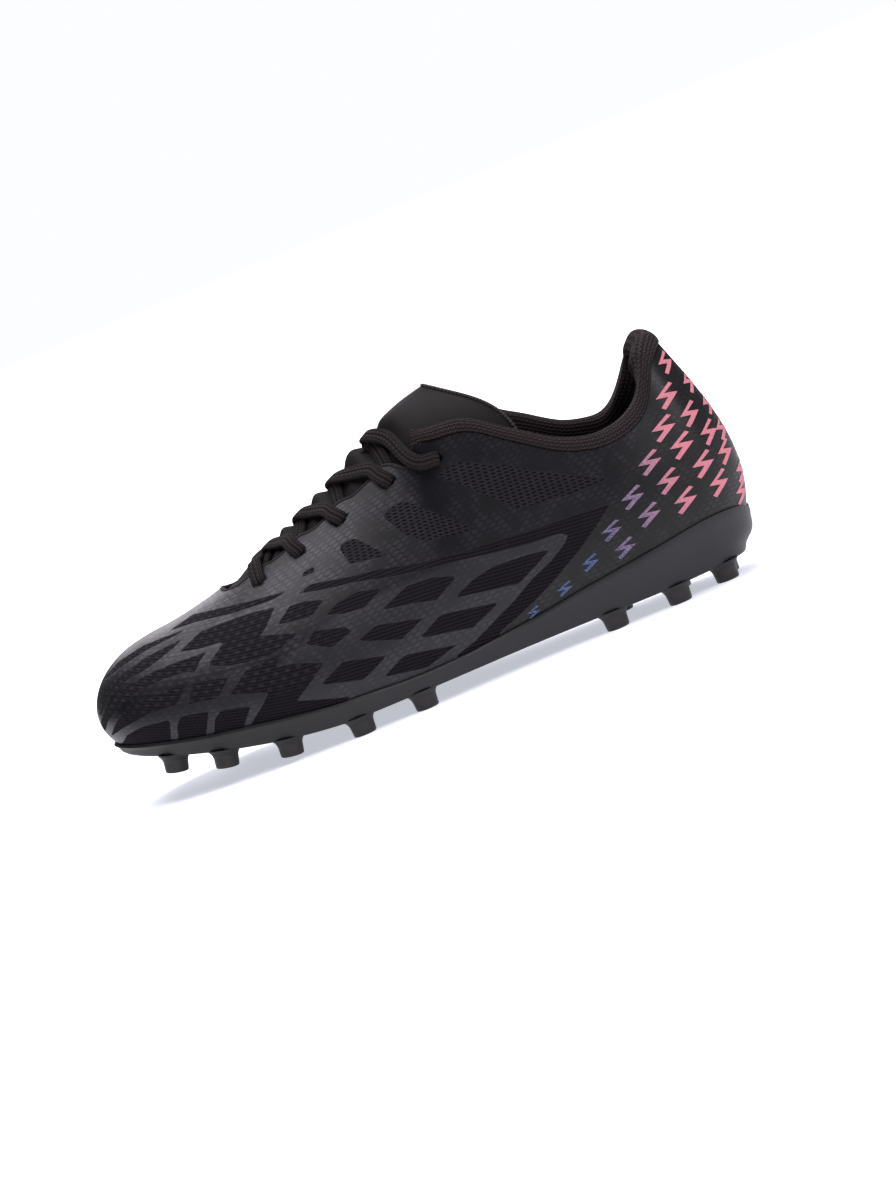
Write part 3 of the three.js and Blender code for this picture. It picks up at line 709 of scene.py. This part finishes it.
# Throat binding: a thin ribbed tape, folded over the raw edge of the throat and bonded to
# it, so that the knit doesn't fray between the eyelets.
def swept(name, path, facing, width, thickness, steps, sides, squareness=1.0):
    """A flat band with rounded sides along a smooth path, facing its normals."""

    def place(u, v):
        at = u * (len(path) - 1)
        centre = smooth_path(path, at)
        ahead = smooth_path(path, np.minimum(at + 0.01, len(path) - 1.0))
        behind = smooth_path(path, np.maximum(at - 0.01, 0))
        along = unit(ahead - behind)
        normal = smooth_path(facing, at)
        normal = unit(normal - along * np.sum(normal * along, axis=1)[:, None])
        across = np.cross(along, normal)
        angle = v * 2 * math.pi
        wide, thick = (np.sign(c) * np.abs(c) ** squareness for c in (np.cos(angle), np.sin(angle)))
        return (centre + across * (wide * width / 2)[:, None]
                + normal * (thick * thickness / 2)[:, None])

    band = grid_onto(name, steps, sides, place)
    length = distances(path)[-1]
    weave_map(band, lambda u, v: (u * length, v * 2 * (width + thickness)))
    return band


# from the outer side's top eyelet down to the front of the throat, and up the inner side
throat_walk = np.concatenate((np.linspace(9.85, 5.5, 90), np.linspace(5.45, 5.02, 12)))
binding_sides = np.repeat((LATERAL, MEDIAL), len(throat_walk)).astype(float)
binding_stations = np.concatenate((throat_walk, throat_walk[::-1]))
edge_share = upper_edge(binding_sides, binding_stations)
edge_points, edge_normals = on_last(binding_sides, binding_stations, edge_share, -WALL / 2)
binding = swept("throat_binding", edge_points, edge_normals, 2.0, WALL + 0.5, 420, 14)
binding_material = begin("bonded_tape")
tape_around, _ = weave_axes()
rib = Value.math("SINE", tape_around * (TURN / 0.9)) * 0.5 + 0.5
finish(binding_material, rib.mix(colour("#0c0b0c"), colour("#1a1819")), 0.75, rib, 0.08,
       Specular_IOR_Level=0.2)
binding.data.materials.append(binding_material)
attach(binding, "root")

# Sole: one moulded piece of hard plastic, a plate with a raised rim that runs up into a
# heel cup, and conical studs with a step round each tip. The upper is bonded into it.
CUP, RIM_WALL = 19, 1.2
SOLE_STEPS = 256  # along each side
EDGE_TURNS = (0, 25, 50, 75)  # degrees round the plate's lower edge
WALL_ROWS, INSIDE_ROWS, FLAT_ROWS = 9, 5, 7  # up the wall, down its inside, across the plate


def rim_share(station):
    return smooth_path(RIBS[:, 4], station).ravel()


def share_at(side, station, height):
    low, high = np.zeros(len(station)), np.ones(len(station))
    for _ in range(22):
        half = (low + high) / 2
        under = on_rib(side, station, half)[:, 2] < height
        low, high = np.where(under, half, low), np.where(under, high, half)
    return low


def sole_side(side, station):
    """Profile of one side: edge under the plate, wall, rim and down the inside."""
    edge = 1.6  # radius of the plate's lower edge
    # the wall has a shallow waist under its rim, and swells round the heel
    bulge = 2.2 * soft_rise(station, 14.6, 16.6) - 0.4
    which = np.full(len(station), float(side))
    foot = on_rib(which, station, 0 * station)
    top = share_at(which, station, plate_bottom(foot[:, 0]) + rim_share(station) * CUP)
    base, normal = on_last(which, station, 0, GAP + RIM_WALL)
    outward = unit(normal * (1, 1, 0))
    rows = []
    for turn in np.radians(EDGE_TURNS):
        point = base - outward * edge * (1 - math.sin(turn))
        point[:, 2] = plate_bottom(point[:, 0]) + edge * (1 - math.cos(turn))
        rows.append(point)
    for share in np.linspace(0.1, 1, WALL_ROWS):
        lip = 1 - max(0, share - 0.9) * 5
        hollow = 0.75 * math.sin(math.pi * min(1, share / 0.9)) ** 2
        wall = GAP + RIM_WALL * lip + hollow * bulge
        rows.append(on_last(which, station, top * share, wall)[0])
    for share in np.linspace(1.01, 0.2, INSIDE_ROWS):
        rows.append(on_last(which, station, top * min(1.0, share), GAP)[0])
    bed = on_last(which, station, 0, GAP)[0]
    bed[:, 2] = plate_bottom(bed[:, 0]) + PLATE
    rows.append(bed)
    return np.array(rows)


def sole_shell(u, v):
    """Places on the closed section: near side, footbed, far side and underside."""
    station = np.linspace(0, 17, SOLE_STEPS + 1)
    near = sole_side(LATERAL, station)
    far = sole_side(MEDIAL, station)[::-1]
    shares = np.linspace(0, 1, FLAT_ROWS + 2)[1:-1, None, None]
    bed = near[-1] + (far[0] - near[-1]) * shares
    bed[..., 2] = plate_bottom(bed[..., 0]) + PLATE
    under = far[-1] + (near[0] - far[-1]) * shares
    under[..., 2] = plate_bottom(under[..., 0])
    section = np.concatenate((near, bed, far, under))
    section = np.concatenate((section, section[:1]))
    row, column = v * (len(section) - 1), u * SOLE_STEPS
    return section[np.round(row).astype(int), np.round(column).astype(int)]


section_rows = 2 * (len(EDGE_TURNS) + WALL_ROWS + INSIDE_ROWS + 1) + 2 * FLAT_ROWS
sole = grid_onto("sole", SOLE_STEPS, section_rows, sole_shell, merge=2e-5)
stud_places = ([(LATERAL, at) for at in (2.8, 4.1, 5.4, 6.8, 8.05, 12.4, 14, 15.6)]
               + [(MEDIAL, at) for at in (1.9, 3.95, 5.5, 7.0, 12.4, 13.9, 15.6)])
# rings of a stud from its tip up: radius and height above the tip
stud_rings = ((3.9, 0), (4.2, 0.15), (4.35, 0.5), (4.5, 2.4), (4.62, 3.9), (4.75, 4.4),
              (4.95, 4.95), (5.25, 5.5), (5.65, 6.0), (6.1, 6.4), (6.2, 7.0))
stud_inset = 4  # from the foot line to a stud's middle
studs = []
for side, station in stud_places:
    foot, normal = on_last(side, station, 0)
    spot = foot[0] - unit(normal[0] * (1, 1, 0)) * stud_inset
    slope = (plate_bottom(spot[0] + 1) - plate_bottom(spot[0] - 1)) / 2
    bpy.ops.object.select_all(action="DESELECT")
    bpy.ops.mesh.primitive_circle_add(vertices=36, radius=stud_rings[0][0], fill_type="NGON")
    stud = bpy.context.object
    bpy.ops.object.mode_set(mode="EDIT")
    bpy.ops.mesh.select_all(action="SELECT")
    bpy.ops.mesh.inset(thickness=0.25, depth=0)
    bpy.ops.mesh.inset(thickness=1.0, depth=-0.12)
    bpy.ops.mesh.select_all(action="DESELECT")
    bpy.ops.object.mode_set(mode="OBJECT")
    for edge in stud.data.edges:
        ends = [stud.data.vertices[i].co.xy.length for i in edge.vertices]
        edge.select = min(ends) > stud_rings[0][0] - 0.05
    bpy.ops.object.mode_set(mode="EDIT")
    bpy.ops.mesh.select_mode(type="EDGE")
    for (radius, height), (wider, higher) in zip(stud_rings, stud_rings[1:]):
        bpy.ops.mesh.extrude_edges_move(TRANSFORM_OT_translate={"value": (0, 0, higher - height)})
        bpy.ops.transform.resize(value=(wider / radius, wider / radius, 1))
    bpy.ops.mesh.edge_face_add()
    bpy.ops.mesh.select_all(action="SELECT")
    bpy.ops.mesh.normals_make_consistent(inside=False)
    bpy.ops.object.mode_set(mode="OBJECT")
    place = Matrix.Translation(Vector((spot[0], spot[1], plate_bottom(spot[0]))) + Vector(ORIGIN))
    tilt = Matrix.Rotation(-math.atan(slope), 4, "Y")
    stud.data.transform(Matrix.Scale(0.001, 4) @ place @ tilt @ Matrix.Translation((0, 0, -STUD)))
    studs.append(stud)
joined([sole, *studs])
bpy.ops.object.shade_smooth_by_angle(angle=math.radians(42))
points = millimetres(sole)
store(sole, "below_plate", plate_bottom(points[:, 0]) - points[:, 2])
sole_material = begin("moulded_plastic")
pebble = noise(3.2, 3)
haze = noise(0.05, 3)
tip = stored("below_plate").step(1.6, 2.4)
plastic = haze.step(0.3, 0.7).mix(colour("#0c0a0d"), colour("#141115"))
# painted shade: the plastic is coloured darker towards the toe, which lies in shade; the same share
# also makes it rougher there
front = 1 - along_shoe().step(40, 150)
plastic = (front * 0.75).mix(plastic, colour("#050405"))
plastic = (tip * 0.8).mix(plastic, colour("#1c1412"))
wear = 0.43 - tip * 0.06 + haze * 0.1 + front * 0.12
finish(sole_material, plastic, wear, pebble, 0.03, Specular_IOR_Level=0.42)
sole.data.materials.clear()
sole.data.materials.append(sole_material)
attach(sole, "root")
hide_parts("outsole")

# Insole: a thin foam sheet with a woven cloth face, cut to the foot line and laid loose
# on the footbed.
insole_inset = 2.0  # from the foot line to the sheet's edge
insole_rise = 3.2  # from the plate to the sheet's face


def insole_face(u, v):
    station = u * 17
    edges = []
    for side in (LATERAL, MEDIAL):
        foot, normal = on_last(side, station, 0)
        edges.append(foot - unit(normal * (1, 1, 0)) * insole_inset)
    point = edges[0] + (edges[1] - edges[0]) * v[:, None]
    point[:, 2] = plate_bottom(point[:, 0]) + PLATE + insole_rise
    return point


insole = grid_onto("insole_sheet", 120, 24, insole_face)
apply(insole, "SOLIDIFY", thickness=0.0028, offset=-1)
insole_material = begin("insole_cloth")
THREAD = 1.1  # millimetres from thread to thread
warp, weft = (Value.math("SINE", axis * (TURN * 1000 / THREAD)) for axis in axes_of(object_place()))
thread = warp * weft * 0.5 + 0.5
finish(insole_material, thread.mix(colour("#161516"), colour("#262526")), 0.9, thread, 0.15)
insole.data.materials.append(insole_material)
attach(insole, "root")
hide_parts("insole")

# Collar lining: knit over foam inside the ankle, rolled out over the upper's edge and
# glued down inside. It is thin at its foot and full at the topline.
PAD = 3.5
FRONT, BACK = 9.84, 17  # the rib at which the lining starts, and the one behind the heel


def lining_skin(u, v):
    side = np.where(u <= 0.5, LATERAL, MEDIAL).astype(float)
    share_round = np.where(u <= 0.5, u * 2, 2 - u * 2)
    station = FRONT + share_round * (BACK - FRONT)
    height = rib_length(side, station)
    edge = upper_edge(side, station)
    lip = edge + GAP / height
    start = edge * 4 / 9
    rolled = 1 - lip
    heel = soft_rise(station, 13.2, 15.6) - 0.3 * soft_rise(station, 15.8, 16.8)
    full = 1.9 + PAD + 8.2 * heel  # outside of the upper to the lining's inner face
    flat = np.ones(len(u))
    front = soft_rise(station, 9.8, 10.3)
    # share of the rib, offset from the last and lift of the roll, from the foot up and over
    knots = [(start + (edge - start) * part, -1.9 * flat, 0 * flat) for part in (0, 0.3, 0.6, 0.93)]
    knots += [(lip, -1.9 * flat, 0 * flat),
              (lip - 0.1 * rolled, 0.35 * front, 0 * flat),
              (lip + rolled * 0.2, 1.05 * front, 0 * flat),
              (lip + rolled * 0.6, 0.85 * front, 0.2 * front),
              (lip + rolled * 0.95, -0.4 * flat, 0.5 * front),
              (flat, -0.33 * full, 0.9 + 1.5 * heel),
              (flat, -0.62 * full, 0.7 + 0.4 * heel),
              (lip + rolled * 0.85, -0.9 * full, 0.3 - 0.6 * heel)]
    for part in (0.93, 0.85, 0.7, 0.5, 0.25, 0.0):
        share = start + (1 - start) * part
        depth = 3.3 + (full - 3.3) * part ** (0.8 + heel * 0.4)
        knots.append((share, -depth, 0 * flat))
    knots.append(knots[0])
    table = np.array(knots)
    last = len(knots) - 1
    at = v * last
    low = np.minimum(np.floor(at).astype(int), last - 1)
    each = np.arange(len(u))
    near = [table[np.clip(low + k, 0, last), :, each] for k in (-1, 0, 1, 2)]
    curve = between(near, (at - low)[:, None])
    points = on_last(side, station, np.minimum(curve[:, 0], 0.9995), curve[:, 1])[0]
    # the inner side's topline sags over the ankle and climbs early to the heel
    sag = 1.6 * soft_rise(station, 10.5, 11.8) * (1 - soft_rise(station, 12.8, 14))
    climb = 6.5 * soft_rise(station, 13.6, 15.3) * (1 - soft_rise(station, 15.8, 17))
    lift = (side == MEDIAL) * (climb - sag) * np.clip((curve[:, 0] - 0.7) / 0.3, 0, 1)
    points[:, 0] -= 0.5 * np.maximum(0, lift) * (1 - soft_rise(station, 15.2, 16.1))
    points[:, 2] += curve[:, 2] + lift
    return points


lining = grid_onto("collar_padding", 260, 68, lining_skin)
# the padding's two sides meet behind the heel, so the tight corner is eased there
corner = lining.vertex_groups.new(name="corner")
for vertex, (along, _, height) in zip(lining.data.vertices, millimetres(lining)):
    eased = soft_rise(along, 228, 236) * soft_rise(height, 70, 84)
    if eased > 0:
        corner.add((vertex.index,), float(eased), "REPLACE")
apply(lining, "SMOOTH", factor=0.5, iterations=14, vertex_group="corner")
# weave map: millimetres round the ankle, and over the roll
ankle = np.linspace(0, 1, 261)
roll_over = np.linspace(0, 1, 69)
round_ankle = distances(lining_skin(ankle, np.full(261, 0.5)))
over_roll = distances(lining_skin(np.full(69, 0.25), roll_over))
weave_map(lining, lambda u, v: (np.interp(u, ankle, round_ankle),
                                np.interp(v, roll_over, over_roll)))
lining_material = begin("lining_knit")
knit_run, knit_rise = weave_axes()
column = Value.math("ABSOLUTE", Value.math("FRACT", knit_run / 1.9) - 0.5) * 2
chevron = Value.math("SINE", (knit_rise + column * 0.7) * (TURN / 1.4)) * 0.5 + 0.5
groove = column.step(0.0, 0.22) * (1 - column.step(0.82, 1.0))
loop = chevron * groove
fuzz = noise(4, 3)
finish(lining_material, (loop * 0.85 + fuzz * 0.2).mix(colour("#060404"), colour("#3a3132")),
       0.93, loop * 0.8 + fuzz * 0.2, 0.5, Specular_IOR_Level=0.14)
lining.data.materials.append(lining_material)
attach(lining, "root")
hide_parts("collar_lining")

# Lace: one flat braid of dark yarn. A straight bar joins the first eyelets, and from there
# the two ends cross over the tongue, press into it and dive into the next eyelets.
LACE_WIDTH, LACE_THICK = 5.8, 1.9
edge_stations = (6, 6.75, 7.6, 8.65, 9.6)
cross_stations = (6.25, 7.05, 7.85, 8.78)
on_flap = GAP + LACE_THICK / 2
on_tongue = -WALL - LACE_THICK / 2


def at_edge(side, station, lift, beyond=0.02):
    return side, station, min(1.0, upper_edge(side, station)[0] + beyond), lift


def halfway(side, station, crossing, lift):
    share = (upper_edge(side, station)[0] + 1.02) / 2
    return side, (station + crossing) / 2, share, lift


def at_hole(side, i, lift):
    return side, EYELETS[i], eyelet_share(side, EYELETS[i]), lift


def before_hole(side, i):
    station = (edge_stations[i] + EYELETS[i]) / 2
    share = (upper_edge(side, edge_stations[i])[0] + eyelet_share(side, EYELETS[i])) / 2
    return side, station, share, on_flap + 0.5


strands = [[at_hole(LATERAL, 0, -2.6), at_hole(LATERAL, 0, 0.4),
            at_edge(LATERAL, EYELETS[0], on_flap + 0.2),
            halfway(LATERAL, EYELETS[0], EYELETS[0], on_tongue + 2.2),
            (LATERAL, EYELETS[0], 1, on_tongue + 1.6),
            halfway(MEDIAL, EYELETS[0], EYELETS[0], on_tongue + 2.2),
            at_edge(MEDIAL, EYELETS[0], on_flap + 0.2), at_hole(MEDIAL, 0, 0.4),
            at_hole(MEDIAL, 0, -2.6)]]
for i in range(4):
    for side in (LATERAL, MEDIAL):
        over = LACE_THICK * 0.85 if side == MEDIAL else 0.0
        strands.append([
            at_edge(side, EYELETS[i], on_tongue - 0.1, -0.035),
            at_edge(side, EYELETS[i], on_tongue, 0.022),
            halfway(side, EYELETS[i], cross_stations[i], on_tongue + over * 0.5),
            (side, cross_stations[i], 1, on_tongue + over),
            halfway(-side, edge_stations[i + 1], cross_stations[i], on_tongue + 1.6 + over * 0.3),
            at_edge(-side, edge_stations[i + 1], on_flap), before_hole(-side, i + 1),
            at_hole(-side, i + 1, 0.5), at_hole(-side, i + 1, -2.8)])
strand_paths = [on_last(*np.array(strand, float).T) for strand in strands]
lace = joined([swept(f"lace_strand_{number}", path, facing, LACE_WIDTH, LACE_THICK, 90, 28, 0.62)
               for number, (path, facing) in enumerate(strand_paths)])
lace.name = lace.data.name = "lace_braid"
lace_material = begin("braided_yarn")
yarn_run, yarn_round = weave_axes()
YARN = 0.96  # millimetres from one row of the braid to the next
cord_row = Value.math("ABSOLUTE", Value.math("SINE", yarn_round * (math.pi / YARN))).step(0.1, 0.8)
cord_count = Value.math("FLOOR", yarn_round / YARN)
plait = Value.math("SINE", (yarn_run + cord_count * 0.6) * (TURN / 1.2)) * 0.5 + 0.5
yarn = cord_row * (0.45 + plait * 0.55)
finish(lace_material, yarn.mix(colour("#040303"), colour("#2a2424")), 0.9, yarn, 0.4,
       Specular_IOR_Level=0.14)
lace.data.materials.append(lace_material)
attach(lace, "root")
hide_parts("lace")

# Tongue: microfibre over thin foam. It lies under the throat, bonded at its front, and
# stands free as an arch above the instep.
# top rows: along and height of the middle; then for each side the wing's station and share,
# and the handles at the middle and at the wing
tongue_tops = (((0.577, 1.165),
                (10.6, 0.80, (0, 11, 0), (-9, 0, 9)),
                (10.6, 0.80, (-2, 11, 0), (-10, 0, 9))),
               ((0.616, 1.207),
                (12.2, 0.93, (15.2, 13.4, -10.5), (0.4, -1.7, 20.2)),
                (11.8, 0.91, (9, 13.6, -13.9), (-6, 2.2, 16.3))))
COLUMNS = 64  # steps across the tongue
COVERED = 18  # steps of its rows under the throat


def tongue_rows():
    """Cross rows of the tongue's upper face, from the toe end to its free top."""
    halves = np.linspace(0, 1, COLUMNS // 2 + 1)
    rows = []
    for station in np.linspace(4.5, 9, COVERED + 1):
        row = []
        for side in (LATERAL, MEDIAL):
            at = np.full(len(halves), station)
            height = rib_length(np.array([side]), np.array([station]))[0]
            wing = min(upper_edge(side, station)[0], 0.84) - 13 / height
            crown = 3.0 * soft_rise(station, 5.3, 6.3) * soft_rise(halves, 0.45, 0.95)
            row.append(on_last(side, at, wing + (1 - wing) * halves, -WALL - 2 * GAP + crown)[0])
        rows.append(np.concatenate((row[0], row[1][-2::-1])))
    for (along, height), *wings in tongue_tops:
        row = []
        for side, (station, share, shoulder, rise) in zip((LATERAL, MEDIAL), wings):
            wing = on_last(side, station, share, -(WALL + GAP + PAD + 2 * GAP))[0][0]
            centre = np.array((along * LENGTH, 0, height * INSTEP))
            row.append(bowed((wing, wing + np.array(rise) * (1, side, 1),
                              centre + np.array(shoulder) * (1, side, 1), centre), halves))
        rows.append(np.concatenate((row[0], row[1][-2::-1])))
    return np.array(rows)


TONGUE = tongue_rows()
strand_walks = [(path, facing, np.linspace(0, len(path) - 1, 80)) for path, facing in strand_paths]
lace_points = np.concatenate([smooth_path(path, walk) for path, _, walk in strand_walks])
lace_normals = np.concatenate([unit(smooth_path(facing, walk)) for _, facing, walk in strand_walks])


def tongue_face(u, v):
    # the covered rows take the first two thirds of the length, the free top the rest
    free = 0.66
    beyond = COVERED + (u - free) / (1 - free) * (len(TONGUE) - 1 - COVERED)
    row = smooth_path(TONGUE, np.where(u < free, u / free * COVERED, beyond))
    points = row[np.arange(len(v)), np.round(v * COLUMNS).astype(int)]
    # the foam gives way under the lace
    gap = points[:, None] - lace_points
    reach = np.einsum("ijk,jk->ij", gap, lace_normals)
    beside = np.linalg.norm(gap - reach[..., None] * lace_normals, axis=2)
    away = soft_rise(beside, LACE_WIDTH / 2 - 0.5, LACE_WIDTH / 2 + 4.5)
    pushed = np.clip(reach + LACE_THICK / 2 + 0.1, 0, 6) * (1 - away) * (reach > -4) * (reach < 6)
    deepest = np.argmax(pushed, axis=1)
    push = pushed[np.arange(len(points)), deepest]
    return points - lace_normals[deepest] * push[:, None]


tongue = grid_onto("tongue_pad", 150, COLUMNS, tongue_face)
apply(tongue, "SMOOTH", factor=0.5, iterations=14)
apply(tongue, "SOLIDIFY", thickness=0.003, offset=-1)
apply(tongue, "BEVEL", width=0.0011, segments=3, limit_method="ANGLE",
      angle_limit=math.radians(50))
bpy.ops.object.shade_smooth()
tongue_material = begin("microfibre")
nap = noise(5, 4)
cloud = noise(0.06, 2)
suede = (nap * 0.5 + cloud * 0.6).mix(colour("#090707"), colour("#141010"))
finish(tongue_material, suede, 0.75, nap, 0.07, Specular_IOR_Level=0.2)
tongue.data.materials.append(tongue_material)
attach(tongue, "root")
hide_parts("tongue")

# Tongue edge: a thin knitted edging, sewn over the raw edge of the tongue's free top. It
# lies on the padding itself, so it follows the edge as the lace has shaped it.
pad_skin = BVHTree.FromObject(tongue, bpy.context.evaluated_depsgraph_get())
top_places = [Vector(point + ORIGIN) / 1000 for point in TONGUE[-1]]
edge_run = np.array([pad_skin.find_nearest(place)[0] for place in top_places]) * 1000 - ORIGIN
edge_run = edge_run[3:-3:2]
edge_facing = np.tile((1.0, 0, 0.6), (len(edge_run), 1))
edging = swept("tongue_edging", edge_run, edge_facing, 1.5, 1.3, 220, 10)
edging_material = begin("edging_knit")
edge_along, _ = weave_axes()
bead = Value.math("SINE", edge_along * (TURN / 1.4)) * 0.5 + 0.5
finish(edging_material, bead.mix(colour("#080606"), colour("#2a2423")), 0.9, bead, 0.3)
edging.data.materials.append(edging_material)
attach(edging, "root")
